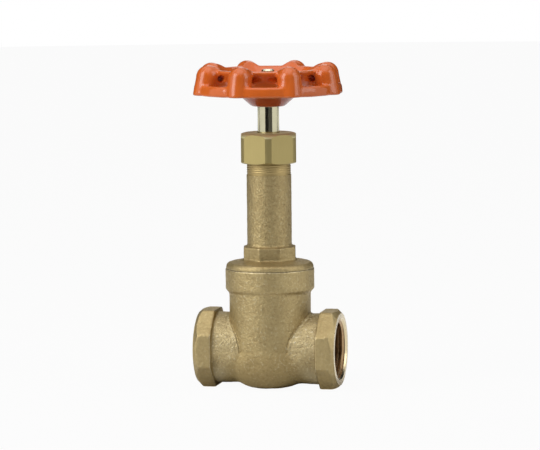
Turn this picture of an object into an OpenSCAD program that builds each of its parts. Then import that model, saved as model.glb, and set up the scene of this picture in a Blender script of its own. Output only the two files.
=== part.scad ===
// Rising-stem wedge gate valve with female pipe-threaded ends and a lobed handwheel.
// The stem runs along +Z, the waterway along X, and z = 0 is the plane that the valve stands on.
// The valve is drawn closed. Threads are drawn as plain cylinders.

/* [Pipe ends] */
// Length of the body from end face to end face
face_to_face = 65; // [54:0.5:90]
// Radius at the roots of the pipe thread
port_r = 13.2; // [11:0.1:16]
// Width of the chamfer at the mouth of each port
port_chamfer = 0.8; // [0.3:0.1:1.2]
// Step in radius from the port down to the waterway
throat_step = 3.2; // [2.4:0.1:4]
// Thickness of the web between the chamber and each port
seat_web = 2.9; // [2.4:0.1:4]
// Wall between the port and the flats of each octagonal end
end_wall = 4.3; // [3.8:0.1:6]
// Axial length of the flats on each end
end_flat_length = 8.5; // [6:0.5:10.5]
// Width of the turned face around each port
end_face_width = 3; // [2:0.1:3.6]
// Wall of each neck where it meets the flats
neck_wall = 3; // [2.4:0.1:3.6]
// Taper of each neck from the flats in to the stem axis
neck_taper = 0.8; // [0.2:0.1:1.2]

/* [Body] */
// Wall of the barrel
barrel_wall = 3.6; // [3:0.1:4.4]
// Gap between the edge of the wedge and the wall of the chamber
chamber_gap = 2.8; // [2.3:0.1:3.6]
// Distance by which the front and back of the barrel stand out past a round one
barrel_bulge = 1.1; // [0.6:0.1:1.3]
// Radius of the rounding under the barrel
belly_round = 11; // [6:0.5:13.5]
// Room above the wedge when it is fully raised
wedge_room = 3.1; // [2.4:0.1:6]
// Step in radius from the barrel out to the collar
collar_step = 1.9; // [1.4:0.1:4]
// Height of the sloping underside of the collar
collar_slope = 2.3; // [1:0.1:3]
// Height of the collar's straight side
collar_height = 9.2; // [7.6:0.1:11.2]
// Step in radius from the chamber out to the screwed joint
joint_step = 1.4; // [1:0.1:1.8]
// Width of each seat ring around the waterway
seat_width = 2.2; // [1.8:0.1:2.8]
// Width of the seat left bare outside the wedge
seat_lap = 0.4; // [0.2:0.1:0.6]
// Half of the gap between the seats at the waterway's axis
seat_half_gap = 6; // [5:0.1:7.2]
// Slope of each seat and each wedge face
seat_angle = 5; // [3:0.5:6]
// Thickness of the guide ribs
guide_rib = 3; // [2:0.1:3.6]
// Depth of the guide ribs
guide_depth = 2.2; // [1.8:0.1:2.6]

/* [Bonnet] */
// Setback of the bonnet flange from the collar
flange_setback = 0.3; // [0.1:0.1:1]
// Thickness of the bonnet flange at its edge
flange_height = 2.8; // [2.3:0.1:4]
// Rise of the flange from its edge to the wrench flats
flange_crown = 1.2; // [0.4:0.1:2]
// Radius of the rounded edge of the flange
flange_round = 2.2; // [1:0.1:2.2]
// Thickness of the bonnet between the wedge's room and the top of the flange
dome_wall = 3.8; // [3.1:0.1:5]
// Step in radius from the neck out to the wrench flats
flat_step = 1.6; // [1.2:0.1:3]
// Height of the wrench flats
bonnet_flat_height = 5.8; // [4.8:0.1:10]
// Height of the slope from the flats to the neck
bonnet_shoulder = 0.7; // [0.5:0.1:2]
// Length of the plain neck beyond the lift of the wedge
neck_rise = 9.9; // [8.2:0.1:16]
// Step in radius from the packing nut's thread out to the neck
neck_step = 0.4; // [0.3:0.1:1]
// Length of the thread that carries the packing nut
nut_thread_length = 13.7; // [11.4:0.1:16.5]
// Wall of the bonnet skirt that screws into the collar
skirt_wall = 2.8; // [2.3:0.1:3.4]
// Thickness of the bonnet gasket
gasket_height = 1; // [0.5:0.1:1.5]
// Width of the bonnet gasket
gasket_width = 2; // [1:0.1:2.4]

/* [Stem and wedge] */
// Radius of the stem's shank
stem_r = 4.9; // [4.1:0.1:5.9]
// Step in radius from the shank out to the crest of the screw
screw_step = 1; // [0.8:0.1:1.2]
// Length of the screwed bore in the bonnet
screw_bore_length = 9; // [7.5:0.5:11]
// Lift of the wedge beyond the height of the waterway
overlift = 2; // [1:0.1:4]
// Height of the button at the foot of the stem
button_height = 2.9; // [2.4:0.1:3.5]
// Step in radius from the shank in to the button
button_step = 0.7; // [0.4:0.1:1]
// Step in radius from the button in to the stem's waist
button_lip = 1.5; // [1.2:0.1:1.8]
// Height of the wedge's boss above the button
slot_lip = 3.4; // [2.8:0.1:4.1]
// Wall of the boss beside the button
slot_wall = 2.3; // [1.9:0.1:2.8]
// Half of the height of the wedge's guide ears
ear_half_height = 5; // [4:0.1:6]
// Half of the width of the wedge's guide ears
ear_half_width = 4; // [3.3:0.1:4.6]
// Step from the shank in to the flats of the stem's square
square_step = 1.4; // [1.2:0.1:1.7]
// Step from the flats of the square in to the stem's threaded end
end_step = 0.5; // [0.3:0.1:0.8]
// Length of bare stem between packing nut and handwheel
bare_stem = 11.7; // [9.7:0.1:30]

/* [Packing] */
// Width of one packing ring
packing_width = 2.5; // [2.1:0.1:3]
// Height of one packing ring
packing_height = 2.4; // [2:0.1:2.9]
// Wall between the stuffing box and the packing nut's thread
box_wall = 2.3; // [1.9:0.1:3]
// Length of the gland below its flange
gland_tail = 2.7; // [2.5:0.1:3.3]
// Length of the gland inside the stuffing box
gland_lap = 2.2; // [1.4:0.1:2.4]
// Height of the gland's flange
gland_flange = 2.3; // [1.9:0.1:2.8]
// Setback of the gland's flange from the packing nut's thread
gland_setback = 0.9; // [0.5:0.1:1.2]
// Wall of the packing nut between its thread and its flats
nut_wall = 2.7; // [2.2:0.1:5]
// Thickness of the packing nut above the gland
nut_roof = 2.6; // [2.1:0.1:3.2]
// Height of the packing nut
nut_height = 13.8; // [11.5:0.1:16.6]
// Depth to which the corners of the packing nut are turned off
nut_corner = 0.5; // [0.3:0.1:0.8]

/* [Handwheel] */
// Outer radius of the lower ring
ring_r = 33.2; // [27.6:0.1:42]
// Height of the lower ring
ring_height = 4.7; // [3.9:0.1:5.7]
// Width of the lower ring
ring_width = 3; // [2.4:0.1:3.6]
// Number of lobes on the rim
lobe_count = 8; // [5:1:9]
// Angle of the first lobe from the outlet
lobe_start = 32; // [0:1:45]
// Radius of one lobe
lobe_r = 5.4; // [4.6:0.1:6.4]
// Height of the lobe's crest above the underside of the rim
lobe_height = 13.6; // [11.5:0.1:16.4]
// Setback of the lobe's crest from the lower ring
crest_setback = 4.8; // [4:0.1:5.6]
// Lean of the lobe's outer face
lobe_lean = 10; // [4:1:14]
// Wall of the casting
wheel_wall = 2; // [1.6:0.1:2.4]
// Setback of the dish's lip from the lower ring
lip_setback = 7; // [6.6:0.1:8.4]
// Drop of the dish's lip below the crests of the lobes
lip_drop = 2.4; // [1.6:0.1:3.4]
// Wall of the hub beside the stem
hub_wall = 2.5; // [2:0.1:4]
// Depth of the hub's foot below the underside of the rim
hub_drop = 5.8; // [4.8:0.1:7]
// Height of the hub
hub_height = 9; // [7.5:0.1:10.8]
// Wall of the wheel nut beside the stem's threaded end
wheel_nut_wall = 2; // [1.6:0.1:3]
// Height of the wheel nut
wheel_nut_height = 5; // [4:0.1:6]
// Width of the washer under the wheel nut
washer_width = 3.2; // [2.8:0.1:4]
// Thickness of the washer
washer_height = 1.2; // [0.8:0.1:1.6]

/* [Fits] */
// Radial clearance of screwed and sliding fits
fit = 0.06; // [0.03:0.01:0.1]
// Clearance between pieces that move past each other
gap = 0.3; // [0.2:0.05:0.4]

/* [Hidden] */
$fn = 96;

// Smallest step, and the length by which a cutter runs past what it cuts
eps = 0.01;
over = 1;

// Direction that the wrench flats, the packing nut and the wheel nut are left at when tightened
tightened_at = 12;

// Waterway, seats and chamber
end_across_flats = 2 * (port_r + end_wall);
end_face_r = port_r + end_face_width;
end_neck_r = port_r + neck_wall;
root_neck_r = end_neck_r - neck_taper;
waterway_r = port_r - throat_step;
seat_r = waterway_r + seat_width;
wedge_r = seat_r - seat_lap;
lift = 2 * waterway_r + overlift;
barrel_in_r = wedge_r + chamber_gap;
barrel_r = barrel_in_r + barrel_wall;
half_length = face_to_face / 2;
port_foot = barrel_in_r + seat_web;
collar_r = barrel_r + collar_step;
flange_r = collar_r - flange_setback;
joint_r = barrel_in_r + joint_step;
gasket_r = joint_r + fit + gasket_width;

// Stem, stuffing box and neck
screw_r = stem_r + screw_step;
button_r = stem_r - button_step;
waist_r = button_r - button_lip;
square_width = 2 * (stem_r - square_step);
stem_end_r = square_width / 2 - end_step;
box_r = stem_r + packing_width;
nut_thread_r = box_r + box_wall;
gland_r = nut_thread_r - gland_setback;
neck_r = nut_thread_r + neck_step;
nut_across_flats = 2 * (nut_thread_r + nut_wall);
bonnet_across_flats = 2 * (neck_r + flat_step);

// Wedge, and the slot in its boss for the button of the stem
axis_z = end_across_flats / 2;
button_rise = 1.2;
button_z = axis_z + wedge_r + button_rise;
slot_floor_z = button_z - gap;
slot_lip_z = button_z + button_height + gap;
boss_top_z = slot_lip_z + slot_lip;
boss_root = 3.8;
boss_foot_z = axis_z + wedge_r - boss_root;
boss_r = button_r + gap + slot_wall;
boss_step = 0.4;
boss_half_width = seat_half_gap - boss_step;
ear_root = 2.8;
ear_in_y = wedge_r - ear_root;
ear_gap = 1.2;
ear_out_y = barrel_in_r - ear_gap;

// Heights of the body and bonnet, from what the raised wedge needs
dome_z = axis_z + lift + wedge_r + wedge_room;
flange_z = dome_z + dome_wall;
flange_edge_z = flange_z - flange_crown;
joint_z = flange_edge_z - flange_height;
collar_z = joint_z - collar_height - collar_slope;
ear_room = 0.7;
skirt_z = axis_z + lift + ear_half_height + ear_room;
shoulder_z = flange_z + bonnet_flat_height;
neck_z = shoulder_z + bonnet_shoulder;
thread_z = neck_z + lift + neck_rise;
bonnet_top_z = thread_z + nut_thread_length;

// Guide ribs
guide_in_y = barrel_in_r - guide_depth;
guide_drop = 0.4;
guide_top_z = skirt_z - guide_drop;
guide_run = 3;
guide_foot_z = axis_z - ear_half_height - guide_run;

// Stuffing box, gland and packing nut
packing_count = 3;
gland_z = bonnet_top_z - gland_lap;
box_z = gland_z - packing_count * packing_height;
gland_flange_z = gland_z + gland_tail;
nut_ceiling_z = gland_flange_z + gland_flange;
nut_top_z = nut_ceiling_z + nut_roof;
nut_z = nut_top_z - nut_height;

// Inside of the bonnet
skirt_in_r = joint_r - skirt_wall;
dome_slope = 1;
boss_gap = 0.7;
boss_room_r = boss_r + boss_gap;
boss_rise = 5.6;
screw_bore_z = boss_top_z + lift + boss_rise;
screw_mouth = 1.5;
screw_bore_r = screw_r + fit;
screw_step_out = 0.8;
screw_room_r = screw_bore_r + screw_step_out;
stem_bore_r = stem_r + fit;
box_floor = 2.4;
backseat_drop = screw_room_r - stem_bore_r;
backseat_z = box_z - box_floor - backseat_drop;

// Stem screw, placed so that its cone comes up to the backseat when the valve is open
screw_chamfer = 1;
screw_foot_gap = 0.8;
screw_foot_z = boss_top_z + screw_foot_gap;
backseat_gap = 1.4 * gap;
screw_top_z = backseat_z + screw_room_r - screw_r - lift - backseat_gap;

// Handwheel and what holds it
hub_z = nut_top_z + bare_stem;
rim_z = hub_z + hub_drop;
hub_top_z = hub_z + hub_height;
hub_r = stem_r + hub_wall;
square_drop = 0.4;
square_top_z = hub_top_z - square_drop;
washer_r = stem_end_r + washer_width;
wheel_nut_z = hub_top_z + washer_height;
wheel_nut_across_flats = 2 * (stem_end_r + wheel_nut_wall);
stem_tip = 1.5;
stem_end_z = wheel_nut_z + wheel_nut_height + stem_tip;
crest_reach = ring_r - crest_setback;
lobe_core_z = lobe_height - lobe_r;
lobe_length = lobe_core_z / cos(lobe_lean) + 2 * lobe_r * sin(lobe_lean);
lip_r = ring_r - lip_setback;
lip_height = lobe_height - lip_drop;
dish_slope = (lip_r - hub_r) / (lip_height + hub_drop);
dish_spread = wheel_wall * sqrt(1 + dish_slope * dish_slope);
dish_floor_z = hub_height - hub_drop;

bronze = [0.66, 0.56, 0.36];
brass = [0.73, 0.64, 0.38];
enamel = [0.80, 0.32, 0.12];
packing_white = [0.90, 0.90, 0.86];
gasket_grey = [0.42, 0.44, 0.42];

// Ring standing on z
module ring(r_out, r_in, z, height) {
    translate([0, 0, z])
        difference() {
            cylinder(r = r_out, h = height);
            translate([0, 0, -eps])
                cylinder(r = r_in, h = height + 2 * eps);
        }
}

// Flat cutter that rounds the outer corner at [r, r] of a profile
module round_corner(r) {
    difference() {
        square(r + over);
        circle(r);
    }
}

// Polygonal prism standing on z, with its flats square to turn, its corners turned off
// and a turned chamfer at each end
module chamfered_prism(sides, across_flats, z, height, corner, chamfer_top, chamfer_foot, turn) {
    inner_r = across_flats / 2;
    outer_r = inner_r / cos(180 / sides);
    slope = tan(30);
    rim_r = outer_r - corner;
    top_r = inner_r - chamfer_top;
    foot_r = inner_r - chamfer_foot;
    translate([0, 0, z])
        intersection() {
            rotate(turn + 180 / sides)
                cylinder(r = outer_r, h = height, $fn = sides);
            rotate_extrude()
                polygon([
                    [0, 0],
                    [foot_r, 0],
                    [rim_r, (rim_r - foot_r) * slope],
                    [rim_r, height - (rim_r - top_r) * slope],
                    [top_r, height],
                    [0, height]
                ]);
        }
}

// Half section of the barrel up to the straight side of the collar
module barrel_profile() {
    difference() {
        square([barrel_r, collar_z + collar_slope]);
        translate([barrel_r - belly_round, belly_round])
            mirror([0, 1])
                round_corner(belly_round);
    }
}

// Half section of the collar, with its sloping underside run on into the barrel
module collar_profile() {
    run = over * collar_slope / collar_step;
    polygon([
        [0, collar_z - run],
        [barrel_r - over, collar_z - run],
        [collar_r, collar_z + collar_slope],
        [collar_r, joint_z],
        [0, joint_z]
    ]);
}

// Half section of the space inside the barrel, with the screwed joint and the gasket's recess above it
module cavity_profile() {
    floor_round = belly_round - barrel_wall;
    difference() {
        polygon([
            [0, barrel_wall],
            [barrel_in_r, barrel_wall],
            [barrel_in_r, guide_top_z],
            [joint_r + fit, guide_top_z],
            [joint_r + fit, joint_z - gasket_height],
            [gasket_r, joint_z - gasket_height],
            [gasket_r, joint_z + eps],
            [0, joint_z + eps]
        ]);
        translate([barrel_in_r - floor_round, barrel_wall + floor_round])
            mirror([0, 1])
                round_corner(floor_round);
    }
}

// One pipe end along +Z from the stem axis: tapering neck, octagon and turned face
module pipe_end() {
    sides = 8;
    flat_z = half_length - end_flat_length;
    vertex_r = end_across_flats / 2 / cos(180 / sides);
    rim_r = vertex_r + over;
    cylinder(r1 = root_neck_r, r2 = end_neck_r, h = flat_z + eps);
    intersection() {
        translate([0, 0, flat_z])
            rotate(180 / sides)
                cylinder(r = vertex_r, h = end_flat_length, $fn = sides);
        rotate_extrude()
            polygon([
                [0, 0],
                [rim_r, 0],
                [rim_r, half_length - (rim_r - end_face_r)],
                [end_face_r, half_length],
                [0, half_length]
            ]);
    }
}

// One threaded port and its half of the waterway along +Z, as a cutter
module port_cutter() {
    rotate_extrude()
        polygon([
            [0, 0],
            [waterway_r, 0],
            [waterway_r, port_foot - throat_step / 2],
            [port_r, port_foot],
            [port_r, half_length - port_chamfer],
            [port_r + port_chamfer, half_length],
            [port_r + port_chamfer, half_length + over],
            [0, half_length + over]
        ]);
}

// Tapered slab between two seat planes, spread by a clearance on each side
module wedge_slab(depth, z_low, z_high, spread) {
    rise = tan(seat_angle);
    low = seat_half_gap + (z_low - axis_z) * rise + spread;
    high = seat_half_gap + (z_high - axis_z) * rise + spread;
    rotate([90, 0, 0])
        linear_extrude(height = depth, center = true)
            polygon([[-low, z_low], [low, z_low], [high, z_high], [-high, z_high]]);
}

module along_waterway(side) {
    translate([0, 0, axis_z])
        rotate(90 - side * 90)
            rotate([0, 90, 0])
                children();
}

module body() {
    color(bronze)
        difference() {
            union() {
                difference() {
                    union() {
                        for (side = [-1, 1])
                            translate([0, side * barrel_bulge, 0])
                                rotate(-side * 90)
                                    rotate_extrude()
                                        barrel_profile();
                        rotate_extrude()
                            collar_profile();
                        for (side = [-1, 1])
                            along_waterway(side)
                                pipe_end();
                    }
                    rotate_extrude()
                        cavity_profile();
                }
                difference() {
                    for (side = [-1, 1])
                        along_waterway(side)
                            cylinder(r = seat_r, h = barrel_in_r + over);
                    wedge_slab(4 * barrel_r, 0, 2 * axis_z, 0);
                }
                for (side = [-1, 1])
                    translate([-guide_rib / 2, side > 0 ? guide_in_y : -barrel_in_r - over, guide_foot_z])
                        cube([guide_rib, guide_depth + over, guide_top_z - guide_foot_z]);
            }
            for (side = [-1, 1])
                along_waterway(side)
                    port_cutter();
        }
}

// Half section of the bonnet's outside
module bonnet_profile() {
    thread_chamfer = 0.8;
    difference() {
        polygon([
            [0, skirt_z],
            [joint_r, skirt_z],
            [joint_r, joint_z],
            [flange_r, joint_z],
            [flange_r, flange_edge_z],
            [flange_r - flange_round, flange_edge_z],
            [bonnet_across_flats / 2, flange_z],
            [neck_r, flange_z],
            [neck_r, thread_z],
            [nut_thread_r, thread_z],
            [nut_thread_r, bonnet_top_z - thread_chamfer],
            [nut_thread_r - thread_chamfer, bonnet_top_z],
            [0, bonnet_top_z]
        ]);
        translate([flange_r - flange_round, flange_edge_z - flange_round])
            round_corner(flange_round);
    }
}

// Half section of the bonnet's inside: wedge room, screwed bore, screw room, backseat and stuffing box
module bonnet_room_profile() {
    polygon([
        [0, skirt_z - over],
        [skirt_in_r, skirt_z - over],
        [skirt_in_r, dome_z - dome_slope],
        [boss_room_r, dome_z + dome_slope],
        [boss_room_r, screw_bore_z - screw_mouth],
        [screw_bore_r, screw_bore_z],
        [screw_bore_r, screw_bore_z + screw_bore_length],
        [screw_room_r, screw_bore_z + screw_bore_length + screw_step_out],
        [screw_room_r, backseat_z],
        [stem_bore_r, backseat_z + backseat_drop],
        [stem_bore_r, box_z],
        [box_r, box_z],
        [box_r, bonnet_top_z + over],
        [0, bonnet_top_z + over]
    ]);
}

module bonnet() {
    flat_edge = 0.5;
    flat_corner = 0.2;
    color(bronze)
        difference() {
            union() {
                rotate_extrude()
                    bonnet_profile();
                chamfered_prism(8, bonnet_across_flats, flange_edge_z, shoulder_z - flange_edge_z,
                    flat_corner, flat_edge, 0, tightened_at);
                translate([0, 0, shoulder_z - 2 * eps])
                    cylinder(r1 = bonnet_across_flats / 2 - flat_edge, r2 = neck_r, h = bonnet_shoulder);
            }
            rotate_extrude()
                bonnet_room_profile();
        }
}

module bonnet_gasket() {
    color(gasket_grey)
        ring(gasket_r - fit, joint_r + 2 * fit, joint_z - gasket_height, gasket_height);
}

// Slot that the button of the stem slides into, open towards both seats
module button_slot() {
    length = 2 * (boss_r + over);
    head_width = 2 * (button_r + gap);
    waist_width = 2 * (waist_r + gap);
    translate([-length / 2, -head_width / 2, slot_floor_z])
        cube([length, head_width, slot_lip_z - slot_floor_z]);
    translate([-length / 2, -waist_width / 2, slot_lip_z - eps])
        cube([length, waist_width, slot_lip + over]);
}

module wedge() {
    low_z = axis_z - wedge_r - over;
    high_z = axis_z + wedge_r + over;
    slot = guide_rib + 2 * gap;
    color(brass)
        difference() {
            union() {
                intersection() {
                    translate([0, 0, axis_z])
                        rotate([0, 90, 0])
                            cylinder(r = wedge_r, h = 4 * seat_half_gap, center = true);
                    wedge_slab(4 * wedge_r, low_z, high_z, -fit);
                }
                intersection() {
                    translate([0, 0, boss_foot_z])
                        cylinder(r = boss_r, h = boss_top_z - boss_foot_z);
                    translate([-boss_half_width, -boss_r - over, axis_z])
                        cube([2 * boss_half_width, 2 * (boss_r + over), boss_top_z]);
                }
                for (side = [-1, 1])
                    translate([-ear_half_width, side > 0 ? ear_in_y : -ear_out_y, axis_z - ear_half_height])
                        cube([2 * ear_half_width, ear_out_y - ear_in_y, 2 * ear_half_height]);
            }
            button_slot();
            for (side = [-1, 1])
                translate([-slot / 2, side > 0 ? guide_in_y - gap : -ear_out_y - over, axis_z - wedge_r])
                    cube([slot, ear_out_y + over - guide_in_y + gap, 2 * wedge_r]);
        }
}

module stem() {
    end_chamfer = 0.6;
    color(brass)
        union() {
            rotate_extrude()
                polygon([
                    [0, button_z],
                    [button_r, button_z],
                    [button_r, button_z + button_height],
                    [waist_r, button_z + button_height],
                    [waist_r, screw_foot_z],
                    [screw_r - screw_chamfer, screw_foot_z],
                    [screw_r, screw_foot_z + screw_chamfer],
                    [screw_r, screw_top_z],
                    [stem_r, screw_top_z + screw_step],
                    [stem_r, hub_z],
                    [0, hub_z]
                ]);
            intersection() {
                translate([0, 0, hub_z - over])
                    cylinder(r = stem_r, h = square_top_z - hub_z + over);
                translate([-square_width / 2, -square_width / 2, hub_z - over])
                    cube([square_width, square_width, square_top_z - hub_z + over]);
            }
            rotate_extrude()
                polygon([
                    [0, square_top_z - over],
                    [stem_end_r, square_top_z - over],
                    [stem_end_r, stem_end_z - end_chamfer],
                    [stem_end_r - end_chamfer, stem_end_z],
                    [0, stem_end_z]
                ]);
        }
}

module packing_ring(index) {
    color(packing_white)
        ring(box_r - fit, stem_r + fit, box_z + index * packing_height, packing_height);
}

module packing_ring_lower() {
    packing_ring(0);
}

module packing_ring_middle() {
    packing_ring(1);
}

module packing_ring_upper() {
    packing_ring(2);
}

module gland() {
    color(brass)
        rotate_extrude()
            polygon([
                [stem_r + fit, gland_z],
                [box_r - fit, gland_z],
                [box_r - fit, gland_flange_z],
                [gland_r, gland_flange_z],
                [gland_r, nut_ceiling_z],
                [stem_r + fit, nut_ceiling_z]
            ]);
}

module packing_nut() {
    mouth_chamfer = 0.8;
    top_chamfer = 0.6;
    foot_chamfer = 0.2;
    bore_r = nut_thread_r + fit;
    hole_r = stem_r + gap;
    color(brass)
        difference() {
            chamfered_prism(6, nut_across_flats, nut_z, nut_height,
                nut_corner, top_chamfer, foot_chamfer, tightened_at);
            rotate_extrude()
                polygon([
                    [0, nut_z - over],
                    [bore_r + mouth_chamfer, nut_z - over],
                    [bore_r + mouth_chamfer, nut_z],
                    [bore_r, nut_z + mouth_chamfer],
                    [bore_r, nut_ceiling_z],
                    [hole_r, nut_ceiling_z],
                    [hole_r, nut_top_z + over],
                    [0, nut_top_z + over]
                ]);
        }
}

// Outer face of the dish at a height above the underside of the rim
function dish_r(z) = hub_r + dish_slope * (z + hub_drop);

// Half section of the dish and hub before the dish is hollowed
module dish_profile() {
    polygon([
        [0, -hub_drop],
        [hub_r, -hub_drop],
        [lip_r, lip_height],
        [0, lip_height]
    ]);
}

// Half section of the space inside the dish, carried up past the crests of the lobes
module dish_room_profile() {
    top_z = lobe_height + over;
    polygon([
        [0, dish_floor_z],
        [dish_r(dish_floor_z) - dish_spread, dish_floor_z],
        [dish_r(top_z) - dish_spread, top_z],
        [0, top_z]
    ]);
}

// Half section of the lower ring, with its upper edges rounded
module ring_profile() {
    edge = 1;
    draft = 0.5;
    difference() {
        polygon([
            [ring_r - ring_width, 0],
            [ring_r + draft, 0],
            [ring_r, ring_height],
            [ring_r - ring_width, ring_height]
        ]);
        translate([ring_r - edge, ring_height - edge])
            round_corner(edge);
    }
}

// Places what points down from a lobe's crest on +X, leaning outwards towards the underside of the rim
module at_crest() {
    translate([crest_reach, 0, lobe_core_z])
        rotate([0, 180 - lobe_lean, 0])
            children();
}

// One lobe on +X: a leaning column with a round head, and a ridge from the head in to the dish
module lobe() {
    taper = 0.2;
    ridge_step = 0.5;
    ridge_length = crest_reach / 2;
    pole_turn = 130;
    at_crest() {
        rotate([0, pole_turn, 0])
            sphere(r = lobe_r);
        cylinder(r1 = lobe_r - taper / 2, r2 = lobe_r + taper, h = lobe_length);
    }
    translate([crest_reach, 0, lobe_core_z])
        rotate([0, -90, 0])
            cylinder(r = lobe_r - ridge_step, h = ridge_length);
}

// Pocket under one lobe, open below
module lobe_pocket() {
    at_crest()
        translate([0, 0, -wheel_wall])
            cylinder(r = lobe_r - wheel_wall, h = lobe_length + wheel_wall);
}

module around_wheel() {
    for (i = [0 : lobe_count - 1])
        rotate(lobe_start + i * 360 / lobe_count)
            children();
}

module handwheel() {
    below = 4 * lobe_r;
    square_hole = square_width + 2 * fit;
    color(enamel)
        translate([0, 0, rim_z])
            difference() {
                union() {
                    rotate_extrude()
                        dish_profile();
                    difference() {
                        union() {
                            rotate_extrude()
                                ring_profile();
                            around_wheel()
                                lobe();
                        }
                        translate([0, 0, -below])
                            cylinder(r = 2 * ring_r, h = below);
                    }
                }
                rotate_extrude()
                    dish_room_profile();
                around_wheel()
                    lobe_pocket();
                translate([-square_hole / 2, -square_hole / 2, -hub_drop - over])
                    cube([square_hole, square_hole, hub_height + 2 * over]);
            }
}

module wheel_washer() {
    color(brass)
        ring(washer_r, stem_end_r + fit, hub_top_z, washer_height);
}

module wheel_nut() {
    chamfer = 0.3;
    corner = 0.2;
    color(brass)
        difference() {
            chamfered_prism(6, wheel_nut_across_flats, wheel_nut_z, wheel_nut_height,
                corner, chamfer, chamfer, tightened_at);
            translate([0, 0, wheel_nut_z - over])
                cylinder(r = stem_end_r + fit, h = wheel_nut_height + 2 * over);
        }
}

body();
bonnet();
bonnet_gasket();
wedge();
stem();
packing_ring_lower();
packing_ring_middle();
packing_ring_upper();
gland();
packing_nut();
handwheel();
wheel_washer();
wheel_nut();
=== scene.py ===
import math
import bmesh
import bpy
from mathutils import Matrix, Vector, noise


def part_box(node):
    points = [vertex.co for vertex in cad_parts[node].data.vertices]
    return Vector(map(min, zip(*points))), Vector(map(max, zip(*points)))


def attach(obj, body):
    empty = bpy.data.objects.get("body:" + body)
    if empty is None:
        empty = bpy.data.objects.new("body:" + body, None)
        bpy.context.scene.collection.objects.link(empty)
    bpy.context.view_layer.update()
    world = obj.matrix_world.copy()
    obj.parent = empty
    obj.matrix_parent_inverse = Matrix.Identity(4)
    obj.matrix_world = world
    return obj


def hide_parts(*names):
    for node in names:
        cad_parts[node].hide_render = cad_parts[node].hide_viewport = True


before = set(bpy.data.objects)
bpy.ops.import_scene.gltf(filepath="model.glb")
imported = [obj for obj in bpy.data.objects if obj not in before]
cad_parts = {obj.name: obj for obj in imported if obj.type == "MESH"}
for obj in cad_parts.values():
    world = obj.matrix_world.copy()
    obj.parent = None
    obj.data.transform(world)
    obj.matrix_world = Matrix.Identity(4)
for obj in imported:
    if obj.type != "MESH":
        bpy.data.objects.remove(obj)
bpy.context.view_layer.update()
mm = 0.001
pipeAxis = 17.5  # height of the waterway above the floor, mm
scene = bpy.context.scene
print("frame loaded,", len(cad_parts), "nodes")


class Wire:  # a shader socket that takes part in sums
    def __init__(self, tree, socket=None):
        self.tree = tree
        self.socket = socket

    def node(self, kind, settings=None, values=None, output=0):
        made = self.tree.nodes.new(kind)
        for name, value in (settings or {}).items():
            setattr(made, name, value)
        for name, value in (values or {}).items():
            if isinstance(value, Wire):
                self.tree.links.new(value.socket, made.inputs[name])
            else:
                made.inputs[name].default_value = value
        return Wire(self.tree, made.outputs[output])

    def maths(self, operation, *values):
        return self.node("ShaderNodeMath", {"operation": operation}, dict(enumerate(values)))

    def __add__(self, other):
        return self.maths("ADD", self, other)

    def __sub__(self, other):
        return self.maths("SUBTRACT", self, other)

    def __mul__(self, other):
        return self.maths("MULTIPLY", self, other)

    def __rsub__(self, other):
        return self.maths("SUBTRACT", other, self)

    __radd__ = __add__
    __rmul__ = __mul__


def newMaterial(name):
    made = bpy.data.materials.new(name)
    made.use_nodes = True
    return made, Wire(made.node_tree), made.node_tree.nodes["Principled BSDF"]


def feed(shader, values):  # values or links for a shader's sockets
    for name, value in values.items():
        if isinstance(value, Wire):
            value.tree.links.new(value.socket, shader.inputs[name])
        else:
            shader.inputs[name].default_value = value


def objectPlace(wire):
    return wire.node("ShaderNodeTexCoord", output=3)


def markOf(wire, name):  # an attribute that the mesh carries
    return wire.node("ShaderNodeAttribute", {"attribute_name": name}, output=2)


def noiseAt(wire, place, size, detail=2, rough=0.5):  # size is the grain in mm
    return wire.node("ShaderNodeTexNoise", None,
                     {"Vector": place, "Scale": 1 / (size * mm), "Detail": detail, "Roughness": rough})


def blend(wire, amount, dark, light):
    return wire.node("ShaderNodeMix", {"data_type": "RGBA"}, {0: amount, 6: dark, 7: light}, 2)


def ease(wire, value, low, high):  # 0 below low, 1 above high
    return wire.node("ShaderNodeMapRange", {"interpolation_type": "SMOOTHSTEP"},
                     {"Value": value, "From Min": low, "From Max": high})


def bumped(wire, height, depth, strength):  # depth in mm
    return wire.node("ShaderNodeBump", None,
                     {"Height": height, "Distance": depth * mm, "Strength": strength})


castMarks = {"grain": 1.15, "grit": 0.40, "blotch": 10,  # sizes, mm
             "pits": (0.50, 0.70), "chips": (0.55, 0.68), "creaseShadeRange": (0.15, 0.80),  # start and full
             "clouds": (0.25, 0.75), "worn": (0.30, 0.95), "dust": (0.65, 1.0),
             "ground": 0.60, "cloudTint": 0.35, "pitTint": 0.55, "creaseShadeTint": 0.4, "lowPaintedLight": 0.1,
             "wornPale": 0.4, "chipPale": 0.6, "dustPale": 0.13, "underPaintedLight": 0.40,
             "chipGrain": 0.7, "chipGrit": 0.3, "wornGrain": 0.4, "bumpGrain": 0.75, "bumpGrit": 0.25,
             "metal": 0.92, "rough": 0.53, "chipShine": 0.14, "wornShine": 0.10, "lowRough": 0.25,
             "relief": 0.80, "bump": 1.0}
bodyLook = {"deep": (0.265, 0.192, 0.085, 1), "main": (0.475, 0.375, 0.186, 1),
            "pale": (0.720, 0.660, 0.480, 1)}
bonnetLook = {"deep": (0.240, 0.172, 0.076, 1), "main": (0.437, 0.343, 0.168, 1),
              "pale": (0.630, 0.550, 0.350, 1)}


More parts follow.
